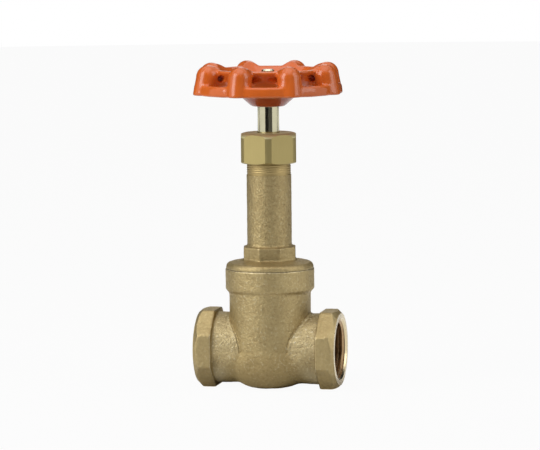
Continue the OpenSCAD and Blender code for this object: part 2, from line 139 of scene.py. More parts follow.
def castBronze(name, look):
    m = castMarks
    made, wire, shader = newMaterial(name)
    place = objectPlace(wire)
    grain = noiseAt(wire, place, m["grain"], rough=0.6)
    grit = noiseAt(wire, place, m["grit"])
    blotch = noiseAt(wire, place, m["blotch"], detail=3, rough=0.55)
    edge = markOf(wire, "edge")
    sand = markOf(wire, "sand")
    dullAndPaintedLight = markOf(wire, "dullAndPaintedLight")
    # painted light: paler at the foot of the barrel (low) and much paler under the pipe necks (under); the
    # foot is also rougher
    low = ease(wire, dullAndPaintedLight, 0, 1)
    under = ease(wire, dullAndPaintedLight, 1, 2)
    pits = ease(wire, 1 - grain, *m["pits"]) * sand
    chips = ease(wire, grain * m["chipGrain"] + grit * m["chipGrit"], *m["chips"]) * sand
    # painted shade: darker in the creases and hollows
    paintedCreaseShade = ease(wire, 0 - edge, *m["creaseShadeRange"])
    worn = ease(wire, edge + (grain - 0.5) * m["wornGrain"], *m["worn"])
    clouds = ease(wire, blotch, *m["clouds"])
    tint = clouds * m["cloudTint"] + m["ground"] - pits * m["pitTint"] - paintedCreaseShade * m["creaseShadeTint"]
    bronze = blend(wire, tint + low * m["lowPaintedLight"], look["deep"], look["main"])
    # dust where the sand is coarsest, and the painted light under the pipe necks
    dustAndPaintedLight = ease(wire, sand, *m["dust"]) * m["dustPale"] + under * m["underPaintedLight"]
    pale = worn * m["wornPale"] + chips * m["chipPale"] + dustAndPaintedLight
    shine = m["rough"] - chips * m["chipShine"] - worn * m["wornShine"]
    relief = (grain * m["bumpGrain"] + grit * m["bumpGrit"]) * sand
    feed(shader, {"Base Color": blend(wire, pale, bronze, look["pale"]),
                  "Metallic": m["metal"],
                  "Roughness": shine + low * m["lowRough"],
                  "Normal": bumped(wire, relief, m["relief"], m["bump"])})
    return made


turnedLook = {"dark": (0.60, 0.48, 0.28, 1), "light": (0.80, 0.68, 0.44, 1), "pitch": 0.22, "cloud": 3,
              "ground": 0.2, "cloudTint": 0.6, "cutTint": 0.12, "rough": 0.16, "cloudRough": 0.10,
              "relief": 0.02, "bump": 0.4}


def turnedBrass():  # faces cut on a lathe about the waterway
    look = turnedLook
    made, wire, shader = newMaterial("turnedBrass")
    place = objectPlace(wire)
    parts = wire.node("ShaderNodeSeparateXYZ", None, {0: place}).socket.node.outputs
    y, z = (Wire(wire.tree, parts[i]) for i in (1, 2))
    drop = z - pipeAxis * mm
    square = y * y + drop * drop
    turns = square.maths("SQRT", square) * (2 * math.pi / (look["pitch"] * mm))
    cut = turns.maths("SINE", turns)
    cloud = noiseAt(wire, place, look["cloud"], detail=3)
    tint = cloud * look["cloudTint"] + cut * look["cutTint"] + look["ground"]
    feed(shader, {"Base Color": blend(wire, tint, look["dark"], look["light"]),
                  "Metallic": 1.0,
                  "Roughness": look["rough"] + cloud * look["cloudRough"],
                  "Normal": bumped(wire, cut, look["relief"], look["bump"])})
    return made


boreLook = {"dark": (0.36, 0.235, 0.125, 1), "light": (0.52, 0.365, 0.195, 1), "cloud": 1.4,
            "clouds": (0.3, 0.75), "rough": 0.28, "cloudRough": 0.2, "relief": 0.03, "bump": 0.3}


def boreBrass():  # oily cut surface inside the ports
    look = boreLook
    made, wire, shader = newMaterial("boreBrass")
    cloud = noiseAt(wire, objectPlace(wire), look["cloud"], detail=3)
    tint = ease(wire, cloud, *look["clouds"])
    feed(shader, {"Base Color": blend(wire, tint, look["dark"], look["light"]),
                  "Metallic": 1.0,
                  "Roughness": look["rough"] + cloud * look["cloudRough"],
                  "Normal": bumped(wire, cloud, look["relief"], look["bump"])})
    return made


drawnMarks = {"line": 0.35, "stretch": 0.05, "cloud": 5, "cloudTint": 0.6, "lineTint": 0.4,
              "cloudRough": 0.10, "relief": 0.012, "bump": 0.35}
nutLook = {"dark": (0.345, 0.280, 0.116, 1), "light": (0.425, 0.350, 0.154, 1), "rough": 0.47}
# painted light: a lighter, rougher copy of the nut's brass for the faces that look up
crownPaintedLightLook = {"dark": (0.58, 0.540, 0.300, 1), "light": (0.68, 0.630, 0.370, 1), "rough": 0.60}
screwLook = {"dark": (0.36, 0.265, 0.115, 1), "light": (0.46, 0.355, 0.165, 1), "rough": 0.48}


def drawnBrass(name, look):  # drawn and milled flats, cut threads
    m = drawnMarks
    made, wire, shader = newMaterial(name)
    place = objectPlace(wire)
    upright = wire.node("ShaderNodeMapping", None, {"Vector": place, "Scale": (1, 1, m["stretch"])})
    drawn = noiseAt(wire, upright, m["line"])
    cloud = noiseAt(wire, place, m["cloud"], detail=3)
    tint = cloud * m["cloudTint"] + drawn * m["lineTint"]
    feed(shader, {"Base Color": blend(wire, tint, look["dark"], look["light"]),
                  "Metallic": 1.0,
                  "Roughness": cloud * m["cloudRough"] + look["rough"],
                  "Normal": bumped(wire, drawn, m["relief"], m["bump"])})
    return made


stemLook = {"dark": (0.52, 0.485, 0.32, 1), "light": (0.70, 0.665, 0.47, 1), "ring": 0.12, "flatten": 0.04,
            "cloud": 4, "cloudTint": 0.7, "ringTint": 0.3, "rough": 0.09, "cloudRough": 0.06,
            "relief": 0.004, "bump": 0.25}


def stemBrass():  # polished shank
    look = stemLook
    made, wire, shader = newMaterial("stemBrass")
    place = objectPlace(wire)
    level = wire.node("ShaderNodeMapping", None,
                      {"Vector": place, "Scale": (look["flatten"], look["flatten"], 1)})
    rings = noiseAt(wire, level, look["ring"])
    cloud = noiseAt(wire, place, look["cloud"])
    tint = cloud * look["cloudTint"] + rings * look["ringTint"]
    feed(shader, {"Base Color": blend(wire, tint, look["dark"], look["light"]),
                  "Metallic": 1.0,
                  "Roughness": look["rough"] + cloud * look["cloudRough"],
                  "Normal": bumped(wire, rings, look["relief"], look["bump"])})
    return made


enamelLook = {"deep": (0.360, 0.044, 0.007, 1), "main": (0.900, 0.184, 0.025, 1),
              "pale": (0.880, 0.290, 0.095, 1), "flow": 7, "peel": 1.6, "speck": 0.5,  # sizes, mm
              "thinPaintAndHighlight": (0.40, 1.0), "paintedHollowShade": (0.25, 0.9), "specks": (0.55, 0.8),
              "ground": 0.65, "flowTint": 0.35, "hollowShadeTint": 0.5, "paintedShadeTint": 0.7, "thinAndHighlightPale": 0.45,
              "rough": 0.34, "speckRough": 0.12, "gloss": 0.10, "coat": 0.8, "thinCoat": 0.1,
              "dryFrom": (0, 0.35), "dry": 0.7, "wetFrom": (0.4, 0.8), "wet": 0.6, "coatRough": 0.06,
              "thinPeel": 0.3, "bumpPeel": 0.7, "bumpSpeck": 0.3, "relief": 0.05, "bump": 0.22}


def orangeEnamel():
    look = enamelLook
    made, wire, shader = newMaterial("orangeEnamel")
    place = objectPlace(wire)
    flow, peel, speck = (noiseAt(wire, place, look[key]) for key in ("flow", "peel", "speck"))
    edge = markOf(wire, "edge")
    paintedShade = markOf(wire, "paintedShade")
    # paler on standing edges: thinner paint there, and a painted highlight
    thinPaintAndHighlight = ease(wire, edge + (peel - 0.5) * look["thinPeel"], *look["thinPaintAndHighlight"])
    # painted shade: darker in hollows
    paintedHollowShade = ease(wire, 0 - edge, *look["paintedHollowShade"])
    tint = flow * look["flowTint"] + look["ground"] - paintedHollowShade * look["hollowShadeTint"]
    # painted shade: darker under the dish and behind the ring
    paint = blend(wire, tint - paintedShade * paintedShade * look["paintedShadeTint"], look["deep"], look["main"])
    dry = ease(wire, paintedShade, *look["dryFrom"]) * look["dry"]
    wet = ease(wire, paintedShade, *look["wetFrom"]) * look["wet"]
    relief = peel * look["bumpPeel"] + speck * look["bumpSpeck"]
    feed(shader, {"Base Color": blend(wire, thinPaintAndHighlight * look["thinAndHighlightPale"], paint, look["pale"]),
                  "Metallic": 0.0,
                  "Roughness": ease(wire, speck, *look["specks"]) * look["speckRough"] + look["rough"],
                  "Specular IOR Level": look["gloss"],
                  "Coat Weight": look["coat"] - thinPaintAndHighlight * look["thinCoat"] - dry + wet,
                  "Coat Roughness": look["coatRough"],
                  "Normal": bumped(wire, relief, look["relief"], look["bump"])})
    return made


softLook = {"packing": {"dark": (0.62, 0.61, 0.56, 1), "light": (0.78, 0.77, 0.72, 1)},
            "gasket": {"dark": (0.10, 0.11, 0.10, 1), "light": (0.19, 0.20, 0.19, 1)},
            "fibre": 0.4, "rough": 0.82, "relief": 0.1, "bump": 0.6}


def softRing(name):  # fibre packing and gasket sheet
    look = softLook[name]
    made, wire, shader = newMaterial(name + "Fibre")
    fibre = noiseAt(wire, objectPlace(wire), softLook["fibre"], detail=4, rough=0.65)
    feed(shader, {"Base Color": blend(wire, fibre, look["dark"], look["light"]),
                  "Roughness": softLook["rough"],
                  "Normal": bumped(wire, fibre, softLook["relief"], softLook["bump"])})
    return made


finish = {"cast": castBronze("castBronze", bodyLook),
          "neck": castBronze("neckBronze", bonnetLook),
          "turned": turnedBrass(),
          "bore": boreBrass(),
          "nut": drawnBrass("nutBrass", nutLook),
          "crown": drawnBrass("crownPaintedLightBrass", crownPaintedLightLook),
          "screw": drawnBrass("screwBronze", screwLook),
          "stem": stemBrass(),
          "enamel": orangeEnamel(),
          "packing": softRing("packing"),
          "gasket": softRing("gasket")}
print("materials made,", len(finish))

weldGap = 1e-7  # points closer than this are one, metres
cadGap = 1e-6  # the same for a copy of a CAD node


def clamp(value):  # kept between 0 and 1
    return max(0, min(1, value))


def lathe(profile, steps=160):  # radius and height in mm, turned about +Z
    bm = bmesh.new()
    line = [bm.verts.new((r * mm, 0, z * mm)) for r, z in profile]
    edges = [bm.edges.new(pair) for pair in zip(line, line[1:])]
    bmesh.ops.spin(bm, geom=line + edges, cent=(0, 0, 0), axis=(0, 0, 1), dvec=(0, 0, 0),
                   angle=2 * math.pi, steps=steps, use_merge=True)
    bmesh.ops.remove_doubles(bm, verts=bm.verts, dist=weldGap)
    bmesh.ops.recalc_face_normals(bm, faces=bm.faces)
    return bm


def prism(sides, acrossFlats, low, high, turn):  # upright, with a flat facing turn
    bm = bmesh.new()
    radius = acrossFlats / 2 / math.cos(math.pi / sides) * mm
    bmesh.ops.create_cone(bm, cap_ends=True, segments=sides, radius1=radius, radius2=radius,
                          depth=(high - low) * mm)
    corner = max(bm.verts, key=lambda v: (round(v.co.x, 7), v.co.y)).co
    now = math.atan2(corner.y, corner.x)
    lift = Matrix.Translation((0, 0, (low + high) / 2 * mm))
    facing = Matrix.Rotation(math.radians(turn) + math.pi / sides - now, 4, "Z")
    bmesh.ops.transform(bm, verts=bm.verts, matrix=lift @ facing)
    return bm


def alongPipe(bm, side):  # lays what was turned about +Z along the waterway
    lift = Matrix.Translation((0, 0, pipeAxis * mm))
    bmesh.ops.transform(bm, verts=bm.verts, matrix=lift @ Matrix.Rotation(side * math.pi / 2, 4, "Y"))
    return bm


def arc(centreR, centreZ, radius, start, end, steps=10):
    angles = [math.radians(start + (end - start) * i / steps) for i in range(steps + 1)]
    return [(centreR + radius * math.cos(a), centreZ + radius * math.sin(a)) for a in angles]


def cutOff(bm, place, normal):  # takes away what lies beyond a plane and closes the cut
    bmesh.ops.bisect_plane(bm, geom=bm.verts[:] + bm.edges[:] + bm.faces[:], dist=weldGap,
                           plane_co=place, plane_no=normal, clear_outer=True)
    bmesh.ops.contextual_create(bm, geom=[e for e in bm.edges if e.is_boundary])


def asObject(bm, name):
    mesh = bpy.data.meshes.new(name)
    bm.to_mesh(mesh)
    bm.free()
    piece = bpy.data.objects.new(name, mesh)
    scene.collection.objects.link(piece)
    return piece


def discard(piece):
    mesh = piece.data
    bpy.data.objects.remove(piece)
    bpy.data.meshes.remove(mesh)


def together(name, *parts):
    whole = bmesh.new()
    for part in parts:
        mesh = bpy.data.meshes.new("part")
        part.to_mesh(mesh)
        part.free()
        whole.from_mesh(mesh)
        bpy.data.meshes.remove(mesh)
    return asObject(whole, name)


def settle(piece):  # bakes the modifiers into the mesh
    view = bpy.context.evaluated_depsgraph_get()
    old = piece.data
    made = bpy.data.meshes.new_from_object(piece.evaluated_get(view))
    piece.modifiers.clear()
    piece.data = made
    made.name = piece.name
    bpy.data.meshes.remove(old)


def voxels(piece, size):  # one skin over all the parts
    step = piece.modifiers.new("skin", "REMESH")
    step.mode = "VOXEL"
    step.voxel_size = size * mm
    settle(piece)


def cutAway(piece, tool):
    step = piece.modifiers.new("cut", "BOOLEAN")
    step.operation = "DIFFERENCE"
    step.solver = "EXACT"
    step.object = tool
    settle(piece)
    discard(tool)


def placeMarks(bm, name, amount):  # an attribute from a rule on each point's place in mm
    layer = bm.verts.layers.float.new(name)
    for v in bm.verts:
        v[layer] = amount(*(c / mm for c in v.co))


def smoothed(bm, verts, rounds):
    for _ in range(rounds):
        bmesh.ops.smooth_vert(bm, verts=verts, factor=0.5,
                              use_axis_x=True, use_axis_y=True, use_axis_z=True)


def sandSkin(bm, verts, layers):  # uneven cast skin, the depth and size of each layer in mm
    for depth, size in layers:
        bm.normal_update()
        for v in verts:
            v.co += v.normal * noise.noise(v.co / (size * mm)) * depth * mm


def edgeMarks(bm, rounds, depth):  # how far each point stands out of its surroundings, as an attribute
    bm.normal_update()
    layer = bm.verts.layers.float.new("edge")
    before = [v.co.copy() for v in bm.verts]
    normals = [v.normal.copy() for v in bm.verts]
    smoothed(bm, bm.verts, rounds)
    for v, was, n in zip(bm.verts, before, normals):
        v[layer] = max(-1.0, min(1.0, (was - v.co).dot(n) / (depth * mm)))
    for v, was in zip(bm.verts, before):
        v.co = was


def edit(piece, work):
    bm = bmesh.new()
    bm.from_mesh(piece.data)
    work(bm)
    bm.to_mesh(piece.data)
    bm.free()


def shadeSmooth(piece, angle=None):
    piece.data.shade_smooth()
    if angle:
        piece.data.set_sharp_from_angle(angle=math.radians(angle))


def nodeCopy(node, name):  # a merged copy of a CAD node's mesh
    bm = bmesh.new()
    bm.from_mesh(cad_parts[node].data)
    bmesh.ops.remove_doubles(bm, verts=bm.verts, dist=cadGap)
    return asObject(bm, name)


def dress(piece, node, look, body, angle):
    piece.data.materials.append(finish[look])
    shadeSmooth(piece, angle)
    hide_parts(node)
    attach(piece, body)


def helix(rootR, crestR, pitch, low, turns, steps=72):  # one ridge of a screw thread about +Z, mm
    bm = bmesh.new()
    half = pitch * 0.46  # half of the ridge at its root
    flat = pitch * 0.07  # half of the flat on its crest
    ridge = [(rootR, low - half), (crestR, low - flat), (crestR, low + flat), (rootR, low + half)]
    line = [bm.verts.new((r * mm, 0, z * mm)) for r, z in ridge]
    edges = [bm.edges.new(pair) for pair in zip(line, line[1:] + line[:1])]
    count = round(steps * turns)
    end = bmesh.ops.spin(bm, geom=line + edges, cent=(0, 0, 0), axis=(0, 0, 1),
                         dvec=(0, 0, pitch * turns * mm / count),
                         angle=2 * math.pi * turns, steps=count)["geom_last"]
    bmesh.ops.contextual_create(bm, geom=line)
    bmesh.ops.contextual_create(bm, geom=[v for v in end if isinstance(v, bmesh.types.BMVert)])
    bmesh.ops.recalc_face_normals(bm, faces=bm.faces)
    return bm


bodyForm = {"voxel": 0.38, "over": 1.0,  # a cutter runs this far past what it cuts, mm
            # pipe ends
            "endFace": 32.5, "flatLength": 8.5, "flats": 35.0, "faceR": 16.2, "cornerRound": 0.5,
            "neckEnd": 16.2, "neckRoot": 15.4, "neckLap": 0.5, "flatOver": 2.0,
            "coneOut": 3.0, "coneOver": 4.0,
            # barrel and collar
            "barrel": 18.2, "bulge": 1.1, "belly": 11.0, "collarFoot": 42.7, "collarSlope": 2.3,
            "collar": 20.1, "collarLap": 1.0, "joint": 54.2,
            # inside
            "wall": 3.6, "screwed": 16.06, "screwFootZ": 44.8, "recess": 18.06, "recessZ": 53.2,
            "portR": 13.2, "portFoot": 17.5, "throatFoot": 15.9, "waterway": 10.0, "chamfer": 0.8,
            "seatR": 12.2, "seatGap": 6.0, "seatAngle": 5.0,
            "ribWidth": 3.0, "ribIn": 12.4, "ribDepth": 4.0, "ribFoot": 9.5,
            # crease between barrel and pipe necks
            "sunk": 1.0, "fillet": 2.4, "filletRounds": 9, "crown": 9.0,
            "creaseFoot": -7.0, "creaseFade": 6.0,
            "fillReach": 5.0, "fillTop": -3.0, "fillStep": 1.8, "fillSteps": 5, "fillRounds": 10,
            "web": 1.7, "webLength": 11.0, "webDrop": 15.0, "webReach": 4.0,
            "lip": 0.20, "lipAt": 0.55, "lipWidth": 0.50, "lipReach": 2.0,
            "groove": 0.16, "grooveAt": 0.30, "grooveWidth": 0.40,
            # cast skin
            "rounds": 2, "underFlats": 1.3, "skin": ((0.09, 4.5), (0.05, 1.6)),
            "edgeRounds": 5, "edgeDepth": 0.13,
            "flatLap": 0.3, "flatSand": 0.3, "neckSand": 1.0, "neckCleaner": 0.45, "neckCleanTop": 12.5,
            "barrelSand": 0.55, "barrelCleaner": 0.15, "barrelCleanTop": 10.0, "cleanFade": 6.0,
            "border": 0.3, "lowBorder": 5.0, "collarGap": 2.0,
            # these four keys place the painted light at the foot of the barrel and under the pipe necks
            "dullTop": 22.0, "dullFade": 8.0, "paleTop": 13.0, "paleFade": 6.0,
            # which faces are cut
            "turnedSlack": 0.01, "faceOn": 0.99, "boreSlack": 0.05, "boreFrom": 5.0, "wallSlack": 0.02,
            "floorSlack": 0.5, "sharp": 38}
flatFoot = bodyForm["endFace"] - bodyForm["flatLength"]  # where the flats of each pipe end begin
collarTop = bodyForm["collarFoot"] + bodyForm["collarSlope"]
chamberR = bodyForm["barrel"] - bodyForm["wall"]


def barrelShapes():
    f = bodyForm
    foot = f["collarFoot"] - f["collarLap"] * f["collarSlope"] / (f["collar"] - f["barrel"])
    shapes = [lathe([(0, foot), (f["barrel"] - f["collarLap"], foot), (f["collar"], collarTop),
                     (f["collar"], f["joint"]), (0, f["joint"])])]
    for side in (-1, 1):  # the barrel stands out a little at the front and back
        half = lathe([(0, 0)] + arc(f["barrel"] - f["belly"], f["belly"], f["belly"], -90, 0)
                     + [(f["barrel"], collarTop), (0, collarTop)])
        bmesh.ops.translate(half, verts=half.verts, vec=(0, side * f["bulge"] * mm, 0))
        shapes.append(half)
    return shapes


def pipeEnd(side):  # a tapering neck, and an octagon whose corners are turned off at the face
    f = bodyForm
    neckTop = flatFoot + f["neckLap"]
    neck = lathe([(0, 0), (f["neckRoot"], 0), (f["neckEnd"], neckTop), (0, neckTop)])
    flats = prism(8, f["flats"], flatFoot, f["endFace"] + f["flatOver"], 0)
    corners = [e for e in flats.edges if abs(e.verts[0].co.z - e.verts[1].co.z) > mm]  # upright edges
    bmesh.ops.bevel(flats, geom=corners, offset=f["cornerRound"] * mm, offset_type="OFFSET", segments=3,
                    profile=0.5, affect="EDGES", material=-1)
    rim = f["flats"] / 2 / math.cos(math.pi / 8) + f["coneOut"]
    top = f["endFace"] + f["coneOver"]
    cone = lathe([(f["faceR"], f["endFace"]), (rim, f["endFace"] - rim + f["faceR"]), (rim, top),
                  (f["faceR"], top), (f["faceR"], f["endFace"])])
    block = asObject(flats, "flats")
    cutAway(block, asObject(cone, "cone"))
    octagon = bmesh.new()
    octagon.from_mesh(block.data)
    discard(block)
    return [alongPipe(neck, side), alongPipe(octagon, side)]


def fromStem(x, y):  # distance from the stem's axis, less the bulge at the front and back
    return math.hypot(x, max(0, abs(y) - bodyForm["bulge"]))


def atJunction(v):  # distances from the barrel's wall and the neck's wall, and height over the waterway, mm
    f = bodyForm
    x, y, z = (c / mm for c in v.co)
    under = min(f["belly"], max(0, f["belly"] - z))
    wall = f["barrel"] - f["belly"] + math.sqrt(f["belly"] ** 2 - under ** 2)
    neck = f["neckRoot"] + (f["neckEnd"] - f["neckRoot"]) * abs(x) / flatFoot
    return fromStem(x, y) - wall, math.hypot(y, z - pipeAxis) - neck, z - pipeAxis


def nearCrease(fromBarrel, fromNeck, reach):
    sunk = -bodyForm["sunk"]
    return sunk < fromBarrel < reach and sunk < fromNeck < reach


def webNecks(bm):  # below the waterway the necks stand out towards the barrel's front and back
    f = bodyForm
    for v in bm.verts:
        fromBarrel, fromNeck, high = atJunction(v)
        beside = -f["sunk"] < fromNeck < f["webReach"] and abs(v.co.x) < flatFoot * mm
        if high < 0 and fromBarrel > -f["sunk"] and beside:
            near = clamp((flatFoot - abs(v.co.x) / mm) / f["webLength"])
            lower = math.sin(math.pi * min(1, -high / f["webDrop"]))
            share = 1 - max(0, fromNeck) / f["webReach"]
            v.co.y += math.copysign(f["web"] * near * near * (3 - 2 * near) * lower * share * mm, v.co.y)


def filletCrease(bm):  # small at the top of the crease and at its foot
    f = bodyForm
    filled = []
    for v in bm.verts:
        fromBarrel, fromNeck, high = atJunction(v)
        onTop = abs(v.co.y) < f["crown"] * mm and high > 0
        if nearCrease(fromBarrel, fromNeck, f["fillet"]) and (high < f["creaseFoot"] or onTop):
            filled.append(v)
    smoothed(bm, filled, f["filletRounds"])


def fillCrease(bm):  # below the waterway, and more so towards the floor
    f = bodyForm
    low = []
    for v in bm.verts:
        fromBarrel, fromNeck, high = atJunction(v)
        if nearCrease(fromBarrel, fromNeck, f["fillReach"]) and high < f["fillTop"]:
            low.append((v, high))
    for step in range(f["fillSteps"]):
        limit = f["fillTop"] - step * f["fillStep"]
        smoothed(bm, [v for v, high in low if high < limit], f["fillRounds"])


def raiseLip(bm):  # a raised lip along the crease, with a groove on the barrel's side
    f = bodyForm
    bm.normal_update()
    for v in bm.verts:
        fromBarrel, fromNeck, high = atJunction(v)
        fade = clamp((high - f["creaseFoot"]) / f["creaseFade"])
        if fade > 0 and nearCrease(fromBarrel, fromNeck, f["lipReach"]):
            lip = groove = 0
            if fromNeck < f["lipAt"]:
                lip = max(0, 1 - ((fromBarrel - f["lipAt"]) / f["lipWidth"]) ** 2)
            if fromBarrel < f["grooveAt"]:
                groove = max(0, 1 - ((fromNeck - f["grooveAt"]) / f["grooveWidth"]) ** 2)
            v.co += v.normal * (lip * f["lip"] - groove * f["groove"]) * fade * mm


def onNeck(x, y, z):  # 0 on the barrel and 1 on the pipe necks, with a soft border below the waterway
    f = bodyForm
    if z >= f["collarFoot"] - f["collarGap"]:
        return 0
    border = f["border"] + f["lowBorder"] * clamp((pipeAxis - z) / f["creaseFade"])
    return clamp((fromStem(x, y) - f["barrel"] - f["border"]) / border)


def bodySand(x, y, z):  # the pipe necks are coarsest and the flats are nearly clean
    f = bodyForm
    if abs(x) > flatFoot - f["flatLap"]:
        return f["flatSand"]
    neck = f["neckSand"] - f["neckCleaner"] * clamp((f["neckCleanTop"] - z) / f["cleanFade"])
    barrel = f["barrelSand"] - f["barrelCleaner"] * clamp((f["barrelCleanTop"] - z) / f["cleanFade"])
    return barrel + (neck - barrel) * onNeck(x, y, z)


def bodyDullAndPaintedLight(x, y, z):  # up to 1 at the foot of the barrel, and up to 2 under the pipe necks, where painted light makes the bronze paler
    f = bodyForm
    if abs(x) > flatFoot - f["flatLap"]:
        return 0
    low = clamp((f["dullTop"] - z) / f["dullFade"])
    return low + onNeck(x, y, z) * clamp((f["paleTop"] - z) / f["paleFade"])


def softenBody(bm):
    f = bodyForm
    smoothed(bm, bm.verts, f["rounds"])
    webNecks(bm)
    filletCrease(bm)
    fillCrease(bm)
    raiseLip(bm)
    underFlats = [v for v in bm.verts if abs(abs(v.co.x) / mm - flatFoot) < f["underFlats"]]
    smoothed(bm, underFlats, f["rounds"])
    sandSkin(bm, bm.verts, f["skin"])
    for v in bm.verts:  # the belly stands on the floor
        v.co.z = max(0, v.co.z)
    edgeMarks(bm, f["edgeRounds"], f["edgeDepth"])
    placeMarks(bm, "sand", bodySand)
    placeMarks(bm, "dullAndPaintedLight", bodyDullAndPaintedLight)
    for side in (-1, 1):
        cutOff(bm, (side * f["endFace"] * mm, 0, 0), (side, 0, 0))


def bodyChamber():  # the room inside the barrel, around its seats and guide ribs
    f = bodyForm
    floorRound = f["belly"] - f["wall"]
    top = f["joint"] + f["over"]
    chamber = asObject(lathe([(0, f["wall"])] + arc(chamberR - floorRound, f["belly"], floorRound, -90, 0)
                             + [(chamberR, f["screwFootZ"]), (f["screwed"], f["screwFootZ"]),
                                (f["screwed"], f["recessZ"]), (f["recess"], f["recessZ"]),
                                (f["recess"], top), (0, top)]), "chamber")
    tilt = math.radians(f["seatAngle"])
    seatEnd = chamberR + f["over"]
    disc = [(0, 0), (f["seatR"], 0), (f["seatR"], seatEnd), (0, seatEnd)]
    ribSize = (f["ribWidth"] * mm, f["ribDepth"] * mm, (f["screwFootZ"] - f["ribFoot"]) * mm, 1)
    for side in (-1, 1):
        seat = alongPipe(lathe(disc, steps=96), side)
        inwards = (-side * math.cos(tilt), 0, math.sin(tilt))
        cutOff(seat, (side * f["seatGap"] * mm, 0, pipeAxis * mm), inwards)
        bmesh.ops.recalc_face_normals(seat, faces=seat.faces)
        cutAway(chamber, asObject(seat, "seat"))
        ribOut = side * (f["ribIn"] + f["ribDepth"] / 2) * mm
        middle = Matrix.Translation((0, ribOut, (f["ribFoot"] + f["screwFootZ"]) / 2 * mm))
        rib = bmesh.new()
        bmesh.ops.create_cube(rib, size=1)
        bmesh.ops.transform(rib, verts=rib.verts, matrix=middle @ Matrix.Diagonal(ribSize))
        cutAway(chamber, asObject(rib, "rib"))
    return chamber


def bodyPort(side):  # one port and its half of the waterway
    f = bodyForm
    mouth = f["portR"] + f["chamfer"]
    end = f["endFace"] + f["over"]
    hole = [(0, 0), (f["waterway"], 0), (f["waterway"], f["throatFoot"]), (f["portR"], f["portFoot"]),
            (f["portR"], f["endFace"] - f["chamfer"]), (mouth, f["endFace"]), (mouth, end), (0, end)]
    return asObject(alongPipe(lathe(hole, steps=128), side), "port")


def bodyFinish(face):  # 0 where it is cast, 1 where it is turned and 2 where it is bored
    f = bodyForm
    x, y, z = (c / mm for c in face.center)
    fromPipe = math.hypot(y, z - pipeAxis)
    atEnd = abs(x) > f["endFace"] - f["chamfer"] - f["turnedSlack"]
    inMouth = fromPipe < f["portR"] + f["chamfer"] + f["turnedSlack"]
    if atEnd and (abs(face.normal.x) > f["faceOn"] or inMouth):
        return 1
    inPort = fromPipe < f["portR"] + f["boreSlack"] and abs(x) > f["boreFrom"]
    inChamber = math.hypot(x, y) < chamberR + f["wallSlack"] and z > f["wall"] + f["floorSlack"]
    return 2 if inPort or inChamber else 0


def makeBody():
    f = bodyForm
    piece = together("bodyCasting", *barrelShapes(), *pipeEnd(-1), *pipeEnd(1))
    voxels(piece, f["voxel"])
    edit(piece, softenBody)
    cutAway(piece, bodyChamber())
    for side in (-1, 1):
        cutAway(piece, bodyPort(side))
    for key in ("cast", "turned", "bore"):
        piece.data.materials.append(finish[key])
    for face in piece.data.polygons:
        face.material_index = bodyFinish(face)
    shadeSmooth(piece, f["sharp"])
    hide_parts("body")
    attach(piece, "valve_body")


makeBody()
print("body cast")

portThread = {"root": 13.24, "crest": 12.12, "pitch": 1.814, "foot": 19.2, "turns": 6.6, "sharp": 30}


def makePortThreads():
    t = portThread
    for side, name in ((-1, "inletThread"), (1, "outletThread")):
        ridge = helix(t["root"], t["crest"], t["pitch"], t["foot"], t["turns"])
        piece = asObject(alongPipe(ridge, side), name)
        piece.data.materials.append(finish["bore"])
        shadeSmooth(piece, t["sharp"])
        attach(piece, "valve_body")


makePortThreads()
print("port threads cut")

bonnetForm = {"voxel": 0.32, "over": 1.0,  # a cutter runs this far past what it cuts, mm
              "skirtZ": 45.2, "skirt": 16.0, "joint": 54.2, "flange": 19.8, "flangeEdge": 57.0,
              "round": 2.2, "crown": 58.2, "flats": 23.4, "shoulder": 64.0, "slopeLap": 0.1, "slopeIn": 0.3,
              "neckZ": 64.7, "neck": 10.1, "threadZ": 96.6, "turn": 12,
              # inside
              "skirtIn": 13.2, "dome": 54.4, "domeSlope": 1.0, "bossRoom": 7.5,
              "screwMouth": 1.5, "screwZ": 64.7, "screwBore": 5.96, "screwTop": 73.7,
              "screwEase": 0.8, "screwRoom": 6.76, "backseat": 96.7,
              "stemBore": 4.96, "boxZ": 100.9, "boxFloor": 2.4, "box": 7.4, "top": 110.3,
              # cast skin
              "skinFrom": 0.7, "rounds": 3, "neckRound": 1.6, "crownRound": 1.4, "crownOut": 2.0,
              "cornerRounds": 2,
              "skin": ((0.08, 4.0), (0.05, 1.5)), "edgeRounds": 9, "edgeDepth": 0.20,
              "neckSand": 0.65, "flangeSand": 0.5, "sharp": 38}


def softenBonnet(bm):
    f = bonnetForm
    skin = [v for v in bm.verts if v.co.z > (f["joint"] + f["skinFrom"]) * mm]
    smoothed(bm, skin, f["rounds"])
    corners = []
    for v in bm.verts:
        underNeck = abs(v.co.z / mm - f["neckZ"]) < f["neckRound"]
        besideFlats = math.hypot(v.co.x, v.co.y) / mm < f["flats"] / 2 + f["crownOut"]
        if underNeck or abs(v.co.z / mm - f["crown"]) < f["crownRound"] and besideFlats:
            corners.append(v)
    smoothed(bm, corners, f["cornerRounds"])
    skin = [v for v in bm.verts if v.co.z > (f["joint"] + f["skinFrom"]) * mm]
    sandSkin(bm, skin, f["skin"])
    edgeMarks(bm, f["edgeRounds"], f["edgeDepth"])
    placeMarks(bm, "sand", lambda x, y, z: f["neckSand"] if z > f["neckZ"] else f["flangeSand"])
    cutOff(bm, (0, 0, f["threadZ"] * mm), (0, 0, 1))


